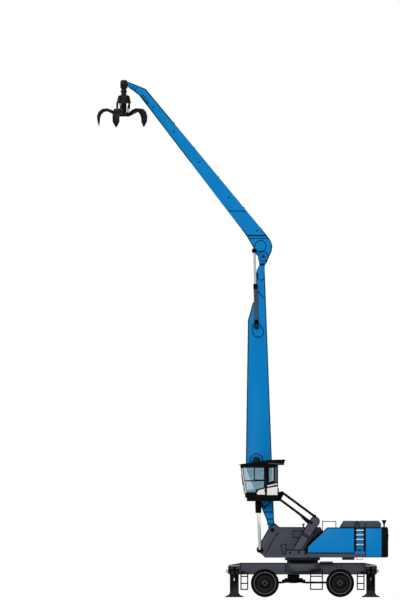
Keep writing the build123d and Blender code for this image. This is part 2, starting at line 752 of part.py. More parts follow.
def boom_node():
    outline = [
        (-1700, 3300),
        (-1710, 3460),
        (-1745, 3840),
        (-2080, 4640),
        (-2825, 6460),
        (-2825, 7060),
        (-2725, 13860),
        (-2650, 14075),
        (-2495, 14685),
        (-2305, 14860),
        (-2305, 16250),
        (-1892, 16250),
        (-1425, 3860),
        (-1335, 3400),
    ]
    hollow = [
        (-1800, 4120),
        (-2030, 4680),
        (-2785, 6475),
        (-2785, 7060),
        (-2690, 13850),
        (-2612, 14075),
        (-2462, 14660),
        (-2268, 14850),
        (-2268, 16150),
        (-1926, 16150),
        (-1474, 4120),
    ]
    shape = prism(outline, -BOOM_HALF_W, BOOM_HALF_W)
    shape += rod_y(BOOM_PIN[0], BOOM_PIN[1], 188, -BOOM_HALF_W, BOOM_HALF_W)
    shape -= prism(hollow, -BOOM_HALF_W + 25, BOOM_HALF_W - 25)
    shape -= rod_y(BOOM_PIN[0], BOOM_PIN[1], 81, -500, 500)
    tongue = [
        (-2305, 16150),
        (-2290, 16350),
        (-2150, 16640),
        (-2170, 16950),
        (-1760, 16950),
        (-1880, 16640),
        (-1888, 16150),
    ]
    shape += prism(tongue, -TONGUE_HALF_W, TONGUE_HALF_W)
    shape += rod_y(HEAD_PIN[0], HEAD_PIN[1], 240, -TONGUE_HALF_W, TONGUE_HALF_W)
    shape += rod_y(HEAD_PIN[0], HEAD_PIN[1], 85, -375, 375)
    boss = rod_y(BOOM_RAM_PIN[0], BOOM_RAM_PIN[1], 330, BOOM_HALF_W - 5, BOOM_HALF_W + 28)
    boss += rod_y(BOOM_RAM_PIN[0], BOOM_RAM_PIN[1], 75, BOOM_HALF_W, 690)
    drop = rod_y(STICK_RAM_PIN[0], STICK_RAM_PIN[1], 210, BOOM_HALF_W - 5, BOOM_HALF_W + 22)
    drop += rod_y(-2210, 13270, 285, BOOM_HALF_W - 5, BOOM_HALF_W + 22)
    drop += rod_y(STICK_RAM_PIN[0], STICK_RAM_PIN[1], 60, BOOM_HALF_W, 590)
    shape += both_sides(boss + drop)
    save("boom", shape)

    start = (BOOM_RAM_PIN[0], BOOM_RAM_Y, BOOM_RAM_PIN[1])
    end = (LUG_PIN[0], BOOM_RAM_Y, LUG_PIN[1])
    barrel, rod = ram(start, end, (0, 1, 0), BOOM_RAM)
    save("boom_cylinder_barrels", both_sides(barrel))
    save("boom_cylinder_rods", both_sides(rod))


STICK_LEAN = atan2(HEAD_PIN[0] - NOSE_PIN[0], NOSE_PIN[1] - HEAD_PIN[1])
STICK_LENGTH = hypot(HEAD_PIN[0] - NOSE_PIN[0], NOSE_PIN[1] - HEAD_PIN[1])


def on_stick(along, across):
    """Side-view point at a length along the stick and a height over its axis."""
    x = HEAD_PIN[0] - along * sin(STICK_LEAN) + across * cos(STICK_LEAN)
    z = HEAD_PIN[1] + along * cos(STICK_LEAN) + across * sin(STICK_LEAN)
    return (x, z)


def stick_wedge(trim):
    """Plan taper of the stick, less trim each side."""
    root = BOOM_HALF_W - trim
    nose = 225 - trim
    plan = [(-1200, -root), (2000, -root), (11600, -nose), (11600, nose), (2000, root), (-1200, root)]
    spot = Plane(
        origin=(HEAD_PIN[0], 0, HEAD_PIN[1]),
        x_dir=(-sin(STICK_LEAN), 0, cos(STICK_LEAN)),
        z_dir=(-cos(STICK_LEAN), 0, -sin(STICK_LEAN)),
    ).location
    return spot * plate(plan, -3000, 3000)


def stick_node():
    outline = [
        (-8700, 25760),
        (-7835, 25410),
        (-1785, 18095),
        (-1590, 17810),
        (-1505, 17560),
        (-1555, 17260),
        (-1675, 17030),
        (-1800, 16700),
        (-1895, 16590),
        (-2150, 16600),
        (-2205, 16850),
        (-2235, 17060),
        (-2400, 17170),
        (-2540, 17330),
        (-2445, 17470),
        (-2810, 18095),
        (-8165, 25100),
        (-8715, 25505),
    ]
    shape = prism(outline, -BOOM_HALF_W, BOOM_HALF_W) & stick_wedge(0)
    hollow = [
        on_stick(1420, 55),
        on_stick(9950, 262),
        on_stick(9950, 640),
        on_stick(1130, 760),
        on_stick(1130, 320),
    ]
    shape -= prism(hollow, -400, 400) & stick_wedge(25)
    slot = [on_stick(-900, -1500), on_stick(930, -1500), on_stick(930, 1500), on_stick(-900, 1500)]
    shape -= prism(slot, -TONGUE_HALF_W - 12, TONGUE_HALF_W + 12)
    shape -= rod_y(HEAD_PIN[0], HEAD_PIN[1], 86, -500, 500)
    eye = rod_y(STICK_EYE[0], STICK_EYE[1], 135, TONGUE_HALF_W + 12, 392)
    round_boss = rod_y(-2100, 17560, 290, BOOM_HALF_W - 10, BOOM_HALF_W + 6)
    shape += both_sides(eye + round_boss)
    tongue = [(-8690, 25757), (-8925, 25797), (-8925, 25573), (-8690, 25520)]
    nose = prism(tongue, -NOSE_HALF_W, NOSE_HALF_W)
    nose += rod_y(NOSE_PIN[0], NOSE_PIN[1], 112, -NOSE_HALF_W, NOSE_HALF_W)
    shape += nose
    shape -= rod_y(NOSE_PIN[0], NOSE_PIN[1], 56, -300, 300)
    for along in (1150, 2500, 4500, 6400, 8000):
        spot = on_stick(along, 805 - (along - 713) * 0.01338)
        shape += rod_y(spot[0], spot[1], 40, -150, 150)
    save("stick", shape)

    start = (STICK_RAM_PIN[0], STICK_RAM_Y, STICK_RAM_PIN[1])
    end = (STICK_EYE[0], STICK_RAM_Y, STICK_EYE[1])
    barrel, rod = ram(start, end, (0, 1, 0), STICK_RAM)
    save("stick_cylinder_barrels", both_sides(barrel))
    save("stick_cylinder_rods", both_sides(rod))


# Grab

GRAB_X = -8935
TINE_PIN = (450, 24180)      # (radius, z) of a tine's hinge
TINES = (180, 252, 324, 36, 108)
RING_R = 292
NECK_R = 128
NECK_LOW = 25112
HOUSING_TOP = 25085
HOUSING_LOW = 24690
GRAB_RAM_R = 330
CHEEK_IN = 112
CHEEK_OUT = 200


def around(shape, angle):
    """Piece drawn along +X of the grab's axis, turned to its place."""
    return Pos(GRAB_X, 0, 0) * Rot(0, 0, angle) * shape


def grab_nodes():
    collar = rod_y(NOSE_PIN[0], NOSE_PIN[1], 130, CHEEK_OUT + 5, CHEEK_OUT + 50)
    pin = rod_y(NOSE_PIN[0], NOSE_PIN[1], 55, -CHEEK_OUT - 50, CHEEK_OUT + 50)
    save("grab_pin", pin + both_sides(collar))

    cheek = [
        (-9110, 25440),
        (-9110, 25785),
        (-9035, 25866),
        (-8812, 25860),
        (-8750, 25788),
        (-8745, 25440),
    ]
    link = both_sides(prism(cheek, CHEEK_IN, CHEEK_OUT))
    link -= rod_y(NOSE_PIN[0], NOSE_PIN[1], 56, -400, 400)
    link += box(-9110, -8745, -CHEEK_OUT, CHEEK_OUT, 25440, 25505)
    link += rod_z(GRAB_X, 0, NECK_R, NECK_LOW, 25470)
    link += rod_z(GRAB_X, 0, 165, 25250, 25330)
    save("grab_link", link)

    head = Pos(GRAB_X, 0, (HOUSING_TOP + HOUSING_LOW) / 2) * Cone(375, 275, HOUSING_TOP - HOUSING_LOW)
    head += rod_z(GRAB_X, 0, 200, HOUSING_TOP - 5, NECK_LOW)
    head += rod_z(GRAB_X, 0, 140, 24100, HOUSING_LOW + 20)
    head += rod_z(GRAB_X, 0, RING_R, 24030, 24245)
    rods = None
    for angle in TINES:
        bore = rod_z(GRAB_RAM_R, 0, 29, 24380, 24660)
        barrel = rod_z(GRAB_RAM_R, 0, 52, 24420, HOUSING_LOW + 20)
        head = head + around(barrel, angle) - around(bore, angle)
        ear = [(250, 24045), (250, 24235), (430, 24245), (505, 24210), (505, 24140), (440, 24100)]
        lug = prism(ear, 78, 108)
        head += around(both_sides(lug), angle)
        head += around(rod_y(TINE_PIN[0], TINE_PIN[1], 30, -112, 112), angle)
        rod = rod_z(GRAB_RAM_R, 0, 28, 24310, 24500) + rod_y(GRAB_RAM_R, 24305, 42, -35, 35)
        rod = around(rod, angle)
        rods = rod if rods is None else rods + rod
    save("grab_head", head)
    save("grab_rods", rods)

    side = [
        (405, 24150),
        (400, 24220),
        (440, 24290),
        (560, 24350),
        (840, 24450),
        (1090, 24420),
        (1270, 24270),
        (1345, 24050),
        (1320, 23800),
        (1235, 23505),
        (1195, 23780),
        (1180, 23960),
        (1120, 24130),
        (1000, 24250),
        (840, 24290),
        (640, 24200),
        (500, 24115),
        (440, 24115),
    ]
    front = [
        (-165, 24600),
        (-165, 23770),
        (-28, 23480),
        (28, 23480),
        (165, 23770),
        (165, 24600),
    ]
    blade = prism(side, -165, 165) & slab(front, 100, 1600)
    for y in (-1, 1):
        blade -= box(300, 580, min(y * 70, y * 400), max(y * 70, y * 400), 23900, 24700)
    blade -= rod_y(TINE_PIN[0], TINE_PIN[1], 31, -300, 300)
    for number, angle in enumerate(TINES, start=1):
        save("tine_" + str(number), around(blade, angle))


boom_node()
stick_node()
grab_nodes()
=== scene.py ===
"""Looks of the wheeled material handler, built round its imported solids. Metres, +Z up, facing -X."""
import math

import bmesh
import bpy
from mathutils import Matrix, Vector


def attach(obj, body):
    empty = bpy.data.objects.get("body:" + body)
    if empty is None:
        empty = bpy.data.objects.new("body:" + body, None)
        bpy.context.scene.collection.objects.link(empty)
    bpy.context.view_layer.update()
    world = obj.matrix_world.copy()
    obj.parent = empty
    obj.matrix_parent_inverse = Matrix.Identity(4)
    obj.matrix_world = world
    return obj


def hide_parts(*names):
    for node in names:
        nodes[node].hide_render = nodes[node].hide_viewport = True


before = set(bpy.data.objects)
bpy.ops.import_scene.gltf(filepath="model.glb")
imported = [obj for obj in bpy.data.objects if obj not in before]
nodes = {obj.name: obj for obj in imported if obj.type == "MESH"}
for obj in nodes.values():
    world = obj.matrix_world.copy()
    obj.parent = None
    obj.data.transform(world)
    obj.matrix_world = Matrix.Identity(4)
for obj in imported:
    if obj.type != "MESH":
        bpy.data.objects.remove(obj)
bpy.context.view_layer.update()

SLEW_X = 2.995               # slew axis in the frame; places below are measured from it
LEFT = -1
RIGHT = 1
BOTH = (LEFT, RIGHT)
PROUD = 0.004                # how far seams and plates stand out
SEAM_W = 0.055               # widths of plate joints, fine edges, dark weld lines and hair lines
FINE_W = 0.04
WELD_W = 0.05
HAIR_W = 0.016
IMAGE_HEIGHT_M = 30.0        # the picture's height at the object
IMAGE_CENTRE = (-2.13, 14.86)
CAMERA_AWAY = 70.0


# Materials

def noise(tree, place, scale, detail):
    node = tree.nodes.new("ShaderNodeTexNoise")
    node.inputs["Scale"].default_value = scale
    node.inputs["Detail"].default_value = detail
    tree.links.new(place.outputs["Object"], node.inputs["Vector"])
    return node


def ramp_between(tree, source, low, high, start, stop):
    node = tree.nodes.new("ShaderNodeValToRGB")
    node.color_ramp.elements[0].position = start
    node.color_ramp.elements[1].position = stop
    node.color_ramp.elements[0].color = (*low, 1.0)
    node.color_ramp.elements[1].color = (*high, 1.0)
    tree.links.new(source.outputs["Fac"], node.inputs["Fac"])
    return node


def material(name, colour, roughness, specular=0.15, metallic=0.0, vary=0.06, grain=45.0, wear=None):
    """Clouded colour, uneven gloss and a fine grain; wear is the colour of rubbed patches."""
    made = bpy.data.materials.new(name)
    made.use_nodes = True
    tree = made.node_tree
    shader = tree.nodes["Principled BSDF"]
    shader.inputs["Metallic"].default_value = metallic
    shader.inputs["Specular IOR Level"].default_value = specular
    place = tree.nodes.new("ShaderNodeTexCoord")

    dark = [c * (1 - vary) for c in colour]
    light = [min(1.0, c * (1 + vary)) for c in colour]
    tone = ramp_between(tree, noise(tree, place, 0.9, 5.0), dark, light, 0.35, 0.7)
    if wear is None:
        tree.links.new(tone.outputs["Color"], shader.inputs["Base Color"])
    else:
        patches = ramp_between(tree, noise(tree, place, 4.0, 9.0), (0, 0, 0), (1, 1, 1), 0.6, 0.72)
        rubbed = tree.nodes.new("ShaderNodeMix")
        rubbed.data_type = "RGBA"
        first, second = [socket for socket in rubbed.inputs if socket.type == "RGBA"]
        result = [socket for socket in rubbed.outputs if socket.type == "RGBA"][0]
        second.default_value = (*wear, 1.0)
        tree.links.new(tone.outputs["Color"], first)
        tree.links.new(patches.outputs["Color"], rubbed.inputs[0])
        tree.links.new(result, shader.inputs["Base Color"])

    fine = noise(tree, place, grain, 3.0)
    gloss = tree.nodes.new("ShaderNodeMapRange")
    gloss.inputs["To Min"].default_value = max(0.02, roughness - 0.07)
    gloss.inputs["To Max"].default_value = min(1.0, roughness + 0.07)
    tree.links.new(fine.outputs["Fac"], gloss.inputs["Value"])
    tree.links.new(gloss.outputs["Result"], shader.inputs["Roughness"])
    relief = tree.nodes.new("ShaderNodeBump")
    relief.inputs["Strength"].default_value = 0.15
    relief.inputs["Distance"].default_value = 0.003
    tree.links.new(fine.outputs["Fac"], relief.inputs["Height"])
    tree.links.new(relief.outputs["Normal"], shader.inputs["Normal"])
    return made


def pane_material(name, colour, clear):
    """Glass that lets part of what is behind it show; its colour is partly tint and dust, partly painted
    reflection.
    """
    made = material(name, colour, 0.08, specular=0.3, vary=0.1, grain=4.0)
    made.node_tree.nodes["Principled BSDF"].inputs["Alpha"].default_value = 1 - clear
    return made


BLUE = material("blue paint", (0.0, 0.195, 0.51), 0.42, specular=0.06, vary=0.04)
GREY = material("frame grey", (0.062, 0.066, 0.086), 0.5, specular=0.1)
HOOD = material("hood grey", (0.053, 0.071, 0.094), 0.5, specular=0.1)
BLACK = material("black paint", (0.0025, 0.0025, 0.003), 0.5, specular=0.03, vary=0.2)
LEG_BLACK = material("outrigger black", (0.012, 0.012, 0.013), 0.5, specular=0.08, wear=(0.04, 0.04, 0.042))
GRAB_BLACK = material("grab steel", (0.004, 0.004, 0.005), 0.42, specular=0.1, wear=(0.03, 0.03, 0.032))
SEAM = material("seam black", (0.002, 0.002, 0.003), 0.7, specular=0.03)
RUBBER = material("tyre rubber", (0.003, 0.003, 0.0033), 0.9, specular=0.02, vary=0.25, grain=90.0)
RIM = material("rim paint", (0.005, 0.005, 0.006), 0.5, specular=0.05, vary=0.1)
RIM_EDGE = material("rim edge", (0.05, 0.052, 0.056), 0.5, specular=0.1)
RING = material("bare ring", (0.17, 0.175, 0.19), 0.45, specular=0.2)
CHROME = material("chromed rod", (0.68, 0.69, 0.71), 0.16, metallic=0.8, vary=0.02)
BARREL = material("barrel grey", (0.058, 0.067, 0.091), 0.45, specular=0.12)
STEP = material("step plate", (0.62, 0.63, 0.65), 0.5, specular=0.2, vary=0.1, wear=(0.4, 0.4, 0.41))
CREAM = material("cream panel", (0.74, 0.73, 0.69), 0.5, vary=0.03)
CLOTH = material("seat cloth", (0.16, 0.16, 0.18), 0.95, specular=0.05, vary=0.15, grain=320.0)
ALLOY = material("engine alloy", (0.3, 0.3, 0.31), 0.5, metallic=0.6)
# The panes' pale blue is partly tint and dust and partly painted reflection, raised to stand for light off
# the glass
GLASS = pane_material("cab glass", (0.3, 0.52, 0.64), 0.68)
RED = material("rear lamp", (0.35, 0.01, 0.01), 0.25, specular=0.5)

NODE_MATERIALS = {
    "boom": BLUE,
    "stick": BLUE,
    "engine_house": BLUE,
    "chassis": GREY,
    "upper_frame": GREY,
    "cab_riser": GREY,
    "engine_hood": HOOD,
    "engine": ALLOY,
    "stick_cylinder_barrels": BARREL,
    "boom_cylinder_rods": CHROME,
    "stick_cylinder_rods": CHROME,
    "cab_lift_rod": CHROME,
    "grab_rods": CHROME,
    "cab_glass": GLASS,
    "cab_door_glass": GLASS,
    "grab_link": GRAB_BLACK,
    "grab_head": GRAB_BLACK,
    "grab_pin": GRAB_BLACK,
}
PREFIX_MATERIALS = (("tyres_", RUBBER), ("rims_", RIM), ("tine_", GRAB_BLACK))
PLAIN_EDGES = ("cab_glass", "cab_door_glass", "grab_rods", "grab_head", "handrails")
EDGE = 0.01                  # rounding of the solids' edges

LUG_PIN = (-2.135, 2.375)
STICK_RAM_PIN = (-2.305, 13.54)
STICK_EYE = (-2.405, 17.325)
LIFT_EYE = (-0.325, 4.292)
LEG_ROD_PIN = (1.8, 0.76)    # (y, z), the other pins are (x, z)
LEG_EYE_R = 0.09
BARREL_BARE = (0.2, 1.85)    # grey part of a stick barrel, from its pin
HOUSE_TOP = 3.49
STEPS_LOW = 2.5              # the steps in the recess lie above this


def near_pin(pin, reach):
    """Test for a face close to a pin that runs along Y."""
    return lambda spot: math.hypot(spot.x - SLEW_X - pin[0], spot.z - pin[1]) < reach


def barrel_end(spot):
    along = math.hypot(spot.x - SLEW_X - STICK_RAM_PIN[0], spot.z - STICK_RAM_PIN[1])
    return not BARREL_BARE[0] < along < BARREL_BARE[1]


def leg_eye(spot):
    return math.hypot(abs(spot.y) - LEG_ROD_PIN[0], spot.z - LEG_ROD_PIN[1]) < LEG_EYE_R


# Faces of a node that take a second paint.
SECOND_PAINT = {
    "boom_cylinder_rods": (near_pin(LUG_PIN, 0.18), BLACK),
    "stick_cylinder_rods": (near_pin(STICK_EYE, 0.135), BLACK),
    "stick_cylinder_barrels": (barrel_end, BLACK),
    "cab_lift_rod": (near_pin(LIFT_EYE, 0.065), BLACK),
    "handrails": (lambda spot: HOUSE_TOP - 0.1 > spot.z > STEPS_LOW, STEP),
}
for end in ("front", "rear"):
    for side in ("left", "right"):
        SECOND_PAINT[end + "_" + side + "_leg_rod"] = (leg_eye, BLACK)


def node_material(name):
    if name in NODE_MATERIALS:
        return NODE_MATERIALS[name]
    for prefix, made in PREFIX_MATERIALS:
        if name.startswith(prefix):
            return made
    if name.endswith("_leg_rod"):
        return CHROME
    if name.endswith("_leg"):
        return LEG_BLACK
    return BLACK


def dress(name, obj, made, bevel):
    """Paint a solid, soften its edges and smooth its round faces."""
    obj.data.materials.clear()
    obj.data.materials.append(made)
    test = None
    if name in SECOND_PAINT:
        test, second = SECOND_PAINT[name]
        obj.data.materials.append(second)
    for face in obj.data.polygons:
        face.use_smooth = True
        face.material_index = 1 if test and test(face.center) else 0
    weld = obj.modifiers.new("weld", "WELD")
    weld.merge_threshold = 0.0002
    if bevel > 0:
        edge = obj.modifiers.new("bevel", "BEVEL")
        edge.width = bevel
        edge.segments = 2
        edge.limit_method = "ANGLE"
        edge.angle_limit = math.radians(40)
        edge.use_clamp_overlap = True
    split = obj.modifiers.new("split", "EDGE_SPLIT")
    split.split_angle = math.radians(38)


for name, obj in nodes.items():
    dress(name, obj, node_material(name), 0.0 if name in PLAIN_EDGES else EDGE)


# Ways to make a piece

def mesh_piece(name, points, faces, made, body, smooth=False):
    """New mesh that moves with a body."""
    data = bpy.data.meshes.new(name)
    data.from_pydata([tuple(p) for p in points], [], faces)
    shape = bmesh.new()
    shape.from_mesh(data)
    bmesh.ops.recalc_face_normals(shape, faces=shape.faces)
    shape.to_mesh(data)
    shape.free()
    for face in data.polygons:
        face.use_smooth = smooth
    data.materials.append(made)
    obj = bpy.data.objects.new(name, data)
    bpy.context.scene.collection.objects.link(obj)
    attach(obj, body)
    return obj


def soften(obj, width):
    edge = obj.modifiers.new("bevel", "BEVEL")
    edge.width = width
    edge.segments = 2
    return obj


def panel(name, outline, y0, y1, made, body):
    """Plate from a side-view outline between two y values, its edges rounded."""
    count = len(outline)
    points = [(x + SLEW_X, y0, z) for x, z in outline] + [(x + SLEW_X, y1, z) for x, z in outline]
    faces = [tuple(range(count)), tuple(range(2 * count - 1, count - 1, -1))]
    for i in range(count):
        j = (i + 1) % count
        faces.append((i, i + count, j + count, j))
    return soften(mesh_piece(name, points, faces, made, body), 0.002)


def block(name, low, high, made, body, rounding):
    """Box between two corners with rounded edges."""
    outline = [(low[0], low[2]), (high[0], low[2]), (high[0], high[2]), (low[0], high[2])]
    obj = panel(name, outline, low[1], high[1], made, body)
    obj.modifiers["bevel"].width = rounding
    return obj


def arc(centre, radius, start, stop, steps=24):
    """Side-view points round a centre, angles in degrees."""
    turns = [math.radians(start + (stop - start) * i / steps) for i in range(steps + 1)]
    return [(centre[0] + radius * math.cos(a), centre[1] + radius * math.sin(a)) for a in turns]


def teardrop(big, big_r, small, small_r):
    """Outline round two circles of different size."""
    away = Vector(small) - Vector(big)
    facing = math.degrees(math.atan2(away.y, away.x))
    lean = math.degrees(math.acos((big_r - small_r) / away.length))
    back = arc(big, big_r, facing + lean, facing + 360 - lean)
    return back + arc(small, small_r, facing - lean, facing + lean)


def edges_of(route, width, closed):
    """The two edges of a line of some width, mitred at its corners."""
    count = len(route)
    pairs = []
    for i in range(count):
        here = Vector(route[i])
        ways = []
        if closed or i > 0:
            ways.append((here - Vector(route[i - 1])).normalized())
        if closed or i < count - 1:
            ways.append((Vector(route[(i + 1) % count]) - here).normalized())
        along = sum(ways, Vector((0, 0))).normalized()
        across = Vector((-along.y, along.x)) * (width / 2 / max(0.5, along.dot(ways[0])))
        pairs.append((here + across, here - across))
    return pairs


def lines(name, rows, made, body, sides=BOTH):
    """Seams and edges as narrow raised strips. A row is (face, width, closed, route), where the
    face is its distance from the middle plane, or a function of the place for a sloping one."""
    points = []
    faces = []
    for plane, width, closed, route in rows:
        pairs = edges_of(route, width, closed)
        for side in sides:
            start = len(points)
            for a, b in pairs:
                for spot, lift in ((a, -PROUD), (a, PROUD), (b, PROUD), (b, -PROUD)):
                    y = plane(spot.x, spot.y) if callable(plane) else plane
                    points.append((spot.x + SLEW_X, side * (y + lift), spot.y))
            count = len(pairs)
            for i in range(count if closed else count - 1):
                here = start + 4 * i
                there = start + 4 * ((i + 1) % count)
                for k in range(4):
                    m = (k + 1) % 4
                    faces.append((here + k, here + m, there + m, there + k))
            if not closed:
                last = start + 4 * (count - 1)
                faces.append((start, start + 1, start + 2, start + 3))
                faces.append((last, last + 1, last + 2, last + 3))
    return mesh_piece(name, points, faces, made, body)


def studs(name, rows, made, body, sides=6):
    """Bolt heads, pin ends and discs in one mesh. A row is (centre, axis, radius, height)."""
    points = []
    faces = []
    for centre, axis, radius, height in rows:
        turn = Vector(axis).normalized().to_track_quat("Z", "Y").to_matrix()
        start = len(points)
        for level, reach in ((0.0, radius), (height * 0.8, radius), (height, radius * 0.86)):
            for i in range(sides):
                angle = 2 * math.pi * i / sides
                spot = turn @ Vector((reach * math.cos(angle), reach * math.sin(angle), level))
                points.append(Vector(centre) + Vector((SLEW_X, 0, 0)) + spot)
        faces.append(tuple(range(start + sides - 1, start - 1, -1)))
        faces.append(tuple(range(start + 2 * sides, start + 3 * sides)))
        for level in range(2):
            for i in range(sides):
                j = (i + 1) % sides
                a = start + level * sides
                faces.append((a + i, a + j, a + j + sides, a + i + sides))
    return mesh_piece(name, points, faces, made, body)


def ring(x, z, radius, width, plane, steps=48):
    """Row for lines(): a circle on a face."""
    return (plane, width, True, arc((x, z), radius, 0, 360 - 360 / steps, steps - 1))


def pipe(name, route, radius, made, body, closed=False):
    """Round bar through points."""
    data = bpy.data.curves.new(name, "CURVE")
    data.dimensions = "3D"
    data.bevel_depth = radius
    data.bevel_resolution = 3
    data.use_fill_caps = True
    line = data.splines.new("POLY")
    line.points.add(len(route) - 1)
    line.use_cyclic_u = closed
    for point, (x, y, z) in zip(line.points, route):
        point.co = (x + SLEW_X, y, z, 1)
    data.materials.append(made)
    obj = bpy.data.objects.new(name, data)
    bpy.context.scene.collection.objects.link(obj)
    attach(obj, body)
    return obj


def squared(value, power):
    """Power of a sine or cosine that keeps its sign, for the rounded forms of cushions."""
    return math.copysign(abs(value) ** power, value)


def cushion(name, centre, half, lean, made, body):
    """Crowned pad with a piped seam: half sizes along X, Y and Z before it leans back about Y."""
    rings = 16
    steps = 40
    turn = math.radians(lean)
    points = []
    seam = []

    def placed(x, y, z):
        return (
            centre[0] + x * math.cos(turn) + z * math.sin(turn),
            centre[1] + y,
            centre[2] - x * math.sin(turn) + z * math.cos(turn),
        )

    for r in range(rings + 1):
        lift = math.pi * (r / rings - 0.5)
        for s in range(steps):
            angle = 2 * math.pi * s / steps
            wide = squared(math.cos(lift), 0.55)
            x = half[0] * wide * squared(math.cos(angle), 0.4)
            y = half[1] * wide * squared(math.sin(angle), 0.4)
            z = half[2] * squared(math.sin(lift), 0.8)
            spot = placed(x, y, z)
            points.append((spot[0] + SLEW_X, spot[1], spot[2]))
            if r == rings // 2:
                seam.append(spot)
    faces = []
    for r in range(rings):
        for s in range(steps):
            t = (s + 1) % steps
            faces.append((r * steps + s, r * steps + t, (r + 1) * steps + t, (r + 1) * steps + s))
    pad = mesh_piece(name, points, faces, made, body, smooth=True)
    weld = pad.modifiers.new("weld", "WELD")
    weld.merge_threshold = 0.0005
    pipe(name + "_piping", seam, 0.007, SEAM, body, closed=True)
    return pad


ROUND = 24                   # sides of a stud that is round, not a bolt head


# Wheels

WHEEL_X = 1.88
WHEEL_Z = 0.705
RIM_FACE = 1.745             # distances of the wheel's faces from the middle plane
HUB_FACE = 1.682
DISC_FACE = 1.484
NUT_FACE = 1.465
RIM_RING_R = 0.54
RIM_RING_W = 0.02
DISC_RING_R = 0.34
HUB_R = 0.13
HUB_W = 0.018
NUTS = 12
NUT_CIRCLE = 0.285
NUT_R = 0.026
NUT_HIGH = 0.045

for end, x in (("front", -WHEEL_X), ("rear", WHEEL_X)):
    for side, sign in (("left", LEFT), ("right", RIGHT)):
        body = "wheels_" + end + "_" + side
        hub = (HUB_FACE, HUB_W, True, arc((x, WHEEL_Z), HUB_R, 0, 270, 3))
        rim = ring(x, WHEEL_Z, RIM_RING_R, RIM_RING_W, RIM_FACE)
        lines(body + "_rings", [rim, hub], RING, body, (sign,))
        disc = ring(x, WHEEL_Z, DISC_RING_R, HAIR_W, DISC_FACE)
        lines(body + "_disc_ring", [disc], RIM_EDGE, body, (sign,))
        nuts = []
        for i in range(NUTS):
            angle = 2 * math.pi * i / NUTS
            nut_x = x + NUT_CIRCLE * math.cos(angle)
            nut_z = WHEEL_Z + NUT_CIRCLE * math.sin(angle)
            nuts.append(((nut_x, sign * NUT_FACE, nut_z), (0, sign, 0), NUT_R, NUT_HIGH))
        studs(body + "_nuts", nuts, RIM, body)


# Boom

BOOM_FACE = 0.35
BOOM_RAM_PIN = (-2.3, 6.86)
BOOM_BOSS_FACE = 0.378
DROP_FACE = 0.372
DROP_LOW = (-2.21, 13.27)

head_plate = [(-2.235, 16.22)] + arc((-2.0725, 16.0125), 0.1625, 180, 360, 12) + [(-1.91, 16.22)]
BOOM_FRONT = [
    (-1.725, 3.6),
    (-1.765, 3.84),
    (-2.1, 4.645),
    (-2.805, 6.465),
    (-2.805, 7.06),
    (-2.705, 13.857),
    (-2.63, 14.08),
    (-2.475, 14.69),
    (-2.285, 14.87),
    (-2.285, 16.24),
]
BOOM_BACK = [(-1.91, 16.24), (-1.445, 3.86), (-1.385, 3.55)]
boom_rows = [
    (BOOM_FACE, WELD_W, False, BOOM_FRONT),
    (BOOM_FACE, WELD_W, False, BOOM_BACK),
    (BOOM_FACE, SEAM_W, False, [(-1.71, 3.66), (-1.4, 3.66)]),
    (BOOM_FACE, SEAM_W, False, [(-1.755, 3.91), (-1.445, 3.91)]),
    (BOOM_FACE, SEAM_W, False, [(-1.9, 4.26), (-1.46, 4.26)]),
    (BOOM_FACE, SEAM_W, False, [(-2.1, 4.76), (-1.905, 4.47), (-1.575, 4.775)]),
    (BOOM_FACE, FINE_W, False, head_plate),
    (BOOM_FACE, FINE_W, False, [(-2.25, 15.31), (-1.9, 14.91)]),
    (DROP_FACE, FINE_W, True, teardrop(DROP_LOW, 0.272, STICK_RAM_PIN, 0.197)),
    ring(BOOM_RAM_PIN[0], BOOM_RAM_PIN[1], 0.315, FINE_W, BOOM_BOSS_FACE),
    ring(BOOM_RAM_PIN[0], BOOM_RAM_PIN[1], 0.23, HAIR_W, BOOM_BOSS_FACE),
]
lines("boom_seams", boom_rows, SEAM, "boom")
HEAD_PIN = (-1.965, 17.035)
PIN_HIGH = 0.012             # how far a pin's end stands out
BOOM_PINS = (                # (pin, face, radius)
    (HEAD_PIN, 0.372, 0.07),
    (BOOM_RAM_PIN, 0.688, 0.062),
    (STICK_RAM_PIN, 0.588, 0.05),
)
pin_ends = []
for side in BOTH:
    for pin, face, radius in BOOM_PINS:
        pin_ends.append(((pin[0], side * face, pin[1]), (0, side, 0), radius, PIN_HIGH))
studs("boom_pin_ends", pin_ends, BLACK, "boom", ROUND)
STICK_RAM_Y = 0.48
COLLAR = (0.1, 0.34)         # black foot of a stick barrel, from its pin
COLLAR_R = 0.1
way = (Vector(STICK_EYE) - Vector(STICK_RAM_PIN)).normalized()
for side, sign in (("left", LEFT), ("right", RIGHT)):
    route = []
    for along in COLLAR:
        spot = Vector(STICK_RAM_PIN) + way * along
        route.append((spot.x, sign * STICK_RAM_Y, spot.y))
    pipe("stick_barrel_foot_" + side, route, COLLAR_R, BLACK, "stick_barrels")


# Stick

NOSE_PIN = (-8.925, 25.685)
STICK_LEAN = math.atan2(HEAD_PIN[0] - NOSE_PIN[0], NOSE_PIN[1] - HEAD_PIN[1])
TAPER_FROM = 2.0             # length along the stick where its sides start to close in
TAPER_TO = 11.6
NOSE_FACE = 0.225
STICK_BOSS = (-2.1, 17.56)
STICK_BOSS_FACE = 0.356


def stick_face(x, z):
    """Half width of the stick at a side-view point."""
    along = (HEAD_PIN[0] - x) * math.sin(STICK_LEAN) + (z - HEAD_PIN[1]) * math.cos(STICK_LEAN)
    share = max(0.0, min(1.0, (along - TAPER_FROM) / (TAPER_TO - TAPER_FROM)))
    return BOOM_FACE + (NOSE_FACE - BOOM_FACE) * share


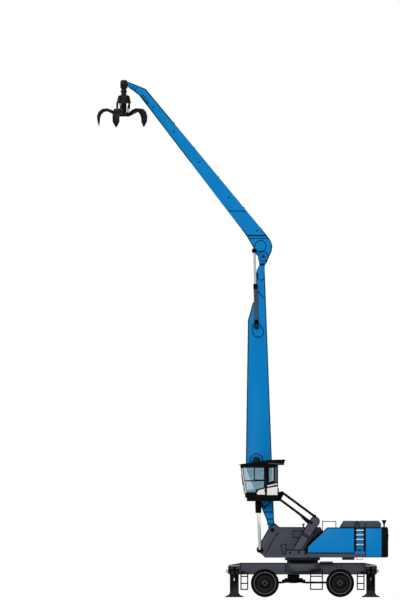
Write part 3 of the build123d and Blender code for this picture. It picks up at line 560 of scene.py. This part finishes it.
STICK_BACK = [
    (-8.68, 25.735),
    (-7.845, 25.39),
    (-1.805, 18.085),
    (-1.61, 17.805),
    (-1.525, 17.56),
    (-1.575, 17.27),
    (-1.69, 17.04),
    (-1.815, 16.71),
]
STICK_FRONT = [(-8.7, 25.52), (-8.16, 25.12), (-2.8, 18.11), (-2.43, 17.48)]
stick_rows = [
    (BOOM_FACE, 0.07, False, [(-2.77, 18.08), (-1.83, 18.08)]),
    (BOOM_FACE, FINE_W, False, [(-2.66, 17.94), (-1.71, 17.94)]),
    (stick_face, FINE_W, False, [(-3.7, 19.31), (-2.85, 19.31)]),
    (STICK_BOSS_FACE, FINE_W, True, teardrop(STICK_BOSS, 0.275, (-2.33, 17.39), 0.12)),
    ring(HEAD_PIN[0], HEAD_PIN[1], 0.24, FINE_W, BOOM_FACE),
    ring(HEAD_PIN[0], HEAD_PIN[1], 0.125, HAIR_W, BOOM_FACE),
    (stick_face, FINE_W, True, [(-8.06, 25.04), (-7.98, 25.1), (-7.68, 24.74), (-7.75, 24.67)]),
    (stick_face, FINE_W, False, [(-8.53, 25.4), (-8.43, 25.57)]),
    (stick_face, FINE_W, False, [(-8.39, 25.32), (-8.28, 25.51)]),
    (BOOM_FACE, 0.09, False, [(-2.145, 16.65), (-1.865, 16.65)]),
    (stick_face, WELD_W, False, STICK_BACK),
    (stick_face, WELD_W, False, STICK_FRONT),
]
STICK_MARKS = ((-7.46, 24.5), (-6.43, 23.28), (-5.15, 21.76), (-3.68, 19.98), (-2.28, 18.33))
MARK_HALF = 0.055
across = Vector((math.cos(STICK_LEAN), math.sin(STICK_LEAN))) * MARK_HALF
for x, z in STICK_MARKS:
    mark = [(x - across.x, z - across.y), (x + across.x, z + across.y)]
    stick_rows.append((stick_face, SEAM_W, False, mark))
lines("stick_seams", stick_rows, SEAM, "stick")


# Upper carriage

TOWER_FACE = 0.45
RISER_FACE = 1.385
RISER_BASE_FACE = 1.52
HOUSE_FACE = 1.45
HOOD_FACE = 1.15
TAIL_X = 4.29
SILL_TOP = 2.195
BOOM_PIN = (-1.515, 3.37)
BOOM_PIN_FACE = 0.478
NOSE_SEAL_Y = (0.375, 0.445)

TOWER_EDGE = [
    (-2.235, 2.475),
    (-1.68, 3.43),
    (-1.625, 3.545),
    (-1.35, 3.652),
    (-1.165, 3.484),
    (0.88, 3.484),
    (0.945, 3.33),
]
tower_rows = [
    (TOWER_FACE, WELD_W, False, TOWER_EDGE),
    (TOWER_FACE, FINE_W, True, [(-0.475, 3.31), (0.075, 3.31), (-0.075, 2.96), (-0.475, 2.985)]),
    (TOWER_FACE, FINE_W, False, [(-1.16, 3.24), (-1.33, 3.1), (-1.84, 2.18)]),
    (TOWER_FACE, FINE_W, True, [(-1.075, 2.6), (-0.82, 2.66), (-0.84, 2.16), (-0.98, 2.16)]),
    ring(LUG_PIN[0], LUG_PIN[1], 0.13, FINE_W, TOWER_FACE),
]
lines("tower_seams", tower_rows, SEAM, "upper")
NOSE_SEAL = [(0.19, 2.15), (0.19, 2.59), (0.97, 3.335), (1.04, 3.3), (0.245, 2.54), (0.245, 2.15)]
for side, sign in (("left", LEFT), ("right", RIGHT)):
    y0, y1 = sorted(sign * y for y in NOSE_SEAL_Y)
    panel("nose_seal_" + side, NOSE_SEAL, y0, y1, SEAM, "upper")
tower_pins = []
for side in BOTH:
    tower_pins.append(((BOOM_PIN[0], side * BOOM_PIN_FACE, BOOM_PIN[1]), (0, side, 0), 0.1, 0.014))
studs("tower_pin_ends", tower_pins, SEAM, "upper", ROUND)
RISER_TOP = (0.615, 3.785)
RISER_TURN = 147.5           # direction across the riser, in degrees
RISER_R = 0.228
RISER_EDGE = [(-0.43, 2.5)] + arc(RISER_TOP, RISER_R, RISER_TURN, RISER_TURN - 180) + [(-0.04, 2.4)]
RISER_PIN_FACE = 1.474
RISER_FOOT = [(-0.85, 2.13), (-0.83, 2.305), (-0.76, 2.355), (0.1, 2.355), (0.135, 2.31), (0.135, 2.13)]
riser_rows = [
    (RISER_FACE, WELD_W, False, RISER_EDGE),
    (RISER_BASE_FACE, WELD_W, False, RISER_FOOT),
    (RISER_FACE, SEAM_W, False, [(0.03, 3.235), (0.365, 3.0)]),
    (RISER_FACE, SEAM_W, False, [(-0.02, 3.155), (0.31, 2.92)]),
]
lines("riser_seams", riser_rows, SEAM, "upper", (LEFT,))
# Flat black discs on the riser's foot plate: painted shade standing for the dark insides of its holes
riser_hole_painted_shade = []
for x, z in ((-0.625, 2.225), (-0.175, 2.26)):
    riser_hole_painted_shade.append(((x, -RISER_BASE_FACE + 0.002, z), (0, LEFT, 0), 0.055, 0.006))
studs("riser_hole_painted_shade", riser_hole_painted_shade, SEAM, "upper", ROUND)
riser_pins = []
for x, z in ((0.435, 3.73), (0.605, 4.04)):
    riser_pins.append(((x, -RISER_PIN_FACE, z), (0, LEFT, 0), 0.034, 0.01))
studs("riser_pin_ends", riser_pins, BLACK, "upper", ROUND)

HOUSE_BRIM = HOUSE_TOP - 0.023
HOUSE_EDGE = [(0.25, 2.21), (0.26, 2.536), (1.245, HOUSE_BRIM), (3.94, HOUSE_BRIM)]
RECESS_EDGE_FACE = 1.446
RECESS_EDGE_W = 0.07
house_rows = [
    (HOUSE_FACE, WELD_W, False, HOUSE_EDGE),
    (HOUSE_FACE, SEAM_W, False, [(0.24, SILL_TOP + 0.01), (2.6, SILL_TOP + 0.01)]),
]
lines("house_seams", house_rows, SEAM, "upper")
left_rows = [
    (HOUSE_FACE, FINE_W, False, [(2.592, SILL_TOP), (2.592, HOUSE_TOP)]),
    (HOUSE_FACE, FINE_W, False, [(3.148, 2.04), (3.148, HOUSE_TOP)]),
    (RECESS_EDGE_FACE, RECESS_EDGE_W, False, [(2.652, 2.29), (2.652, 3.46)]),
    (RECESS_EDGE_FACE, RECESS_EDGE_W, False, [(3.088, 2.29), (3.088, 3.46)]),
]
lines("house_recess_edges", left_rows, SEAM, "upper", (LEFT,))
DOOR_LOW = 2.32              # doors on the right side
DOOR_TOP = 3.36
front_door = [(0.5, DOOR_LOW), (0.5, 2.68), (1.22, DOOR_TOP), (1.92, DOOR_TOP), (1.92, DOOR_LOW)]
right_rows = [(HOUSE_FACE, FINE_W, True, front_door)]
for x0, x1 in ((2.02, 2.92), (3.05, 3.87)):
    door = [(x0, DOOR_LOW), (x0, DOOR_TOP), (x1, DOOR_TOP), (x1, DOOR_LOW)]
    right_rows.append((HOUSE_FACE, FINE_W, True, door))
LOUVRES = 9
LOUVRE_X = (3.14, 3.78)
LOUVRE_LOW = 2.46
LOUVRE_PITCH = 0.095
LOUVRE_W = 0.045
for i in range(LOUVRES):
    z = LOUVRE_LOW + i * LOUVRE_PITCH
    right_rows.append((HOUSE_FACE, LOUVRE_W, False, [(x, z) for x in LOUVRE_X]))
lines("house_doors", right_rows, SEAM, "upper", (RIGHT,))
for x in (1.78, 2.16, 3.68):
    latch = "house_latch_" + str(round(x * 100))
    block(latch, (x, 1.445, 2.38), (x + 0.1, 1.47, 2.43), BLACK, "upper", 0.008)
block("recess_latch", (2.78, -1.312, 2.3), (2.92, -1.285, 2.4), BLACK, "upper", 0.01)

hood_rows = []
for x in (2.615, 2.84, 3.14):
    hood_rows.append((HOOD_FACE, FINE_W, False, [(x, HOUSE_TOP + 0.01), (x, 3.8)]))
lines("hood_divisions", hood_rows, SEAM, "upper")
LAMP_Y = (1.2, 1.36)
LAMP_Z = (2.95, 3.15)
LAMP_HIGH = 0.014
for side, sign in (("left", LEFT), ("right", RIGHT)):
    y0, y1 = sorted(sign * y for y in LAMP_Y)
    low = (TAIL_X - PROUD, y0, LAMP_Z[0])
    high = (TAIL_X + LAMP_HIGH, y1, LAMP_Z[1])
    block("rear_lamp_" + side, low, high, RED, "upper", 0.006)


# Cab

CAB_FACE = 1.8
ROOF_FACE = 1.81


def cab_plate(name, outline, made, body):
    return panel(name, outline, -CAB_FACE - PROUD, -CAB_FACE + PROUD, made, body)


door_skirt = [(-2.29, 5.2), (-2.2, 5.345), (-1.88, 5.43), (-1.88, 5.13), (-2.2, 5.13), (-2.28, 5.16)]
cab_plate("door_skirt", door_skirt, CREAM, "cab_door")
cab_plate("rear_skirt", [(-1.77, 5.11), (-1.77, 5.45), (-1.25, 5.54), (-1.25, 5.11)], CREAM, "cab")
cab_plate("rear_pillar", [(-1.39, 5.74), (-1.39, 6.5), (-1.28, 6.5), (-1.28, 5.76)], GREY, "cab")
pale_rows = [
    (CAB_FACE, 0.06, False, [(-1.76, 5.56), (-1.26, 5.665)]),
    (CAB_FACE, 0.04, False, [(-2.828, 5.2), (-3.032, 6.45)]),
]
lines("cab_pale_edges", pale_rows, CREAM, "cab", (LEFT,))
# Grey strip along the roof's lower rear edge: painted highlight, grey paint standing for light on the roof
lines("roof_painted_highlight", [(ROOF_FACE, 0.045, False, [(-1.7, 6.7), (-1.0, 6.645)])], GREY, "cab", (LEFT,))
wiper = [(-2.872, -1.0, 5.16), (-2.92, -1.03, 5.2), (-3.03, -1.3, 5.88)]
pipe("wiper_arm", wiper, 0.011, BLACK, "cab")
blade = [(-2.972, -1.15, 5.62), (-3.075, -1.42, 6.15)]
pipe("wiper_blade", blade, 0.013, SEAM, "cab")

SEAT_Y = -1.26
SEAT_HALF_W = 0.27
BACK_LEAN = -82.0            # the back and headrest are pads stood on end
pedestal = block("seat_pedestal", (-2.2, -1.46, 5.04), (-1.75, -1.06, 5.37), BLACK, "cab", 0.03)
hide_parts("operator_seat")
cushion("seat_cushion", (-2.025, SEAT_Y, 5.435), (0.31, SEAT_HALF_W, 0.08), 3.0, CLOTH, "cab")
cushion("seat_back", (-1.63, SEAT_Y, 5.84), (0.4, 0.25, 0.08), BACK_LEAN, CLOTH, "cab")
cushion("seat_headrest", (-1.57, SEAT_Y, 6.27), (0.12, 0.14, 0.06), BACK_LEAN, CLOTH, "cab")
ARM_W = 0.11
CUSHION_Y = (SEAT_Y - SEAT_HALF_W, SEAT_Y + SEAT_HALF_W)
CONTROL_TOP_X = -2.405
for side, y in (("left", -1.65), ("right", -0.98)):
    block("armrest_" + side, (-2.48, y, 5.56), (-1.8, y + ARM_W, 5.66), HOOD, "cab", 0.03)
    block("armrest_post_" + side, (-2.0, y + 0.02, 5.38), (-1.85, y + 0.09, 5.58), BLACK, "cab", 0.015)
    inner = (min(y, CUSHION_Y[0]), max(y + ARM_W, CUSHION_Y[1]))
    block("armrest_bar_" + side, (-1.99, inner[0], 5.38), (-1.86, inner[1], 5.43), BLACK, "cab", 0.01)
    middle = y + ARM_W / 2
    pipe("control_" + side, [(-2.4, middle, 5.65), (CONTROL_TOP_X, middle, 5.76)], 0.012, BLACK, "cab")
    knob = ((CONTROL_TOP_X, middle, 5.75), (0, 0, 1), 0.028, 0.075)
    studs("control_knob_" + side, [knob], BLACK, "cab", 16)


# Chassis

CHASSIS_FACE = 0.6
TURRET_FACE = 1.15
CHASSIS_BRIM = 1.695         # height of the dark line under the chassis's top edge
chassis_rows = [
    (CHASSIS_FACE, WELD_W, False, [(-3.12, CHASSIS_BRIM), (3.12, CHASSIS_BRIM)]),
    (TURRET_FACE, WELD_W, False, [(-0.59, CHASSIS_BRIM), (0.59, CHASSIS_BRIM)]),
]
for x in (1.7, 1.95):
    chassis_rows.append((CHASSIS_FACE, 0.03, False, [(x, 1.46), (x, 1.58)]))
for ahead in (-1, 1):
    chassis_rows.append((TURRET_FACE, FINE_W, False, [(ahead * 0.59, 1.36), (ahead * 0.42, 1.36)]))
    chassis_rows.append((CHASSIS_FACE, FINE_W, False, [(ahead * 3.11, 1.16), (ahead * 3.11, 1.7)]))
lines("chassis_seams", chassis_rows, SEAM, "chassis")
LEG_X = 3.41
BELLY_HALF = 0.172
BELLY = [(0.565, 1.112), (1.0, 0.866), (1.02, 0.9), (0.585, 1.148)]    # (y, z) under a leg's root
for end, ahead in (("front", -1), ("rear", 1)):
    for side, sign in (("left", LEFT), ("right", RIGHT)):
        points = []
        for x in (ahead * LEG_X - BELLY_HALF, ahead * LEG_X + BELLY_HALF):
            points += [(x + SLEW_X, sign * y, z) for y, z in BELLY]
        faces = [(0, 1, 2, 3), (4, 5, 6, 7)]
        for i in range(4):
            j = (i + 1) % 4
            faces.append((i, j, j + 4, i + 4))
        leg = end + "_" + side + "_leg"
        soften(mesh_piece(leg + "_belly", points, faces, LEG_BLACK, leg), 0.004)
RING_BOLTS = 40
BOLT_CIRCLE = 0.79
BOLT_Z = 2.028
bolts = []
for i in range(RING_BOLTS):
    angle = 2 * math.pi * i / RING_BOLTS
    spot = (BOLT_CIRCLE * math.cos(angle), BOLT_CIRCLE * math.sin(angle), BOLT_Z)
    bolts.append((spot, (0, 0, 1), 0.022, 0.03))
studs("slew_bolts", bolts, BLACK, "upper")


# Grab

GRAB_X = -8.935
GRAB_LINES = 5
GRAB_LINE_FROM = 216         # direction of the first line, in degrees
GRAB_LINE_R = 0.026
GRAB_LINE = ((0.24, 24.71), (0.24, 24.62), (0.2, 24.5), (0.2, 24.24))    # (reach, z) down the head
for i in range(GRAB_LINES):
    turn = math.radians((GRAB_LINE_FROM + i * 360 / GRAB_LINES) % 360)
    route = []
    for reach, z in GRAB_LINE:
        route.append((GRAB_X + reach * math.cos(turn), reach * math.sin(turn), z))
    pipe("grab_line_" + str(i + 1), route, GRAB_LINE_R, GRAB_BLACK, "grab_head")


# Stage

LIT_SPOT = Vector((0, 0, 8))


def sun(name, place, energy, spread):
    """Sun that shines from a place to the lit spot."""
    data = bpy.data.lights.new(name, "SUN")
    data.energy = energy
    data.angle = spread
    obj = bpy.data.objects.new(name, data)
    obj.location = place
    obj.rotation_euler = (LIT_SPOT - Vector(place)).to_track_quat("-Z", "Y").to_euler()
    bpy.context.scene.collection.objects.link(obj)


sun("key", (-8, -30, 18), 1.4, 0.35)
sun("fill", (20, -25, 12), 0.5, 0.6)
sun("back", (5, 30, 25), 0.7, 0.6)

world = bpy.data.worlds.new("studio")
bpy.context.scene.world = world
world.use_nodes = True
sky = world.node_tree
sky.nodes.clear()
out = sky.nodes.new("ShaderNodeOutputWorld")
soft = sky.nodes.new("ShaderNodeBackground")
soft.inputs["Strength"].default_value = 0.4
white = sky.nodes.new("ShaderNodeBackground")
for light in (soft, white):
    light.inputs["Color"].default_value = (1, 1, 1, 1)
rays = sky.nodes.new("ShaderNodeLightPath")
shown = rays.outputs["Is Camera Ray"]
for kind in ("Is Glossy Ray", "Is Transmission Ray"):
    either = sky.nodes.new("ShaderNodeMath")
    either.operation = "MAXIMUM"
    sky.links.new(shown, either.inputs[0])
    sky.links.new(rays.outputs[kind], either.inputs[1])
    shown = either.outputs["Value"]
mix = sky.nodes.new("ShaderNodeMixShader")
sky.links.new(shown, mix.inputs["Fac"])
sky.links.new(soft.outputs["Background"], mix.inputs[1])
sky.links.new(white.outputs["Background"], mix.inputs[2])
sky.links.new(mix.outputs["Shader"], out.inputs["Surface"])

FLOOR_HALF = 200.0
corners = [(x * FLOOR_HALF, y * FLOOR_HALF, 0) for x, y in ((-1, -1), (1, -1), (1, 1), (-1, 1))]
floor_data = bpy.data.meshes.new("floor")
floor_data.from_pydata(corners, [], [(0, 1, 2, 3)])
floor_data.materials.append(material("floor", (0.88, 0.88, 0.88), 0.9, vary=0.01))
floor = bpy.data.objects.new("floor", floor_data)
bpy.context.scene.collection.objects.link(floor)

camera_data = bpy.data.cameras.new("camera")
camera_data.type = "ORTHO"
camera_data.ortho_scale = IMAGE_HEIGHT_M
camera_data.clip_end = 400.0
camera = bpy.data.objects.new("camera", camera_data)
camera.location = (IMAGE_CENTRE[0], -CAMERA_AWAY, IMAGE_CENTRE[1])
camera.rotation_euler = (math.radians(90), 0, 0)
bpy.context.scene.collection.objects.link(camera)
bpy.context.scene.camera = camera
bpy.context.scene.view_settings.view_transform = "Standard"
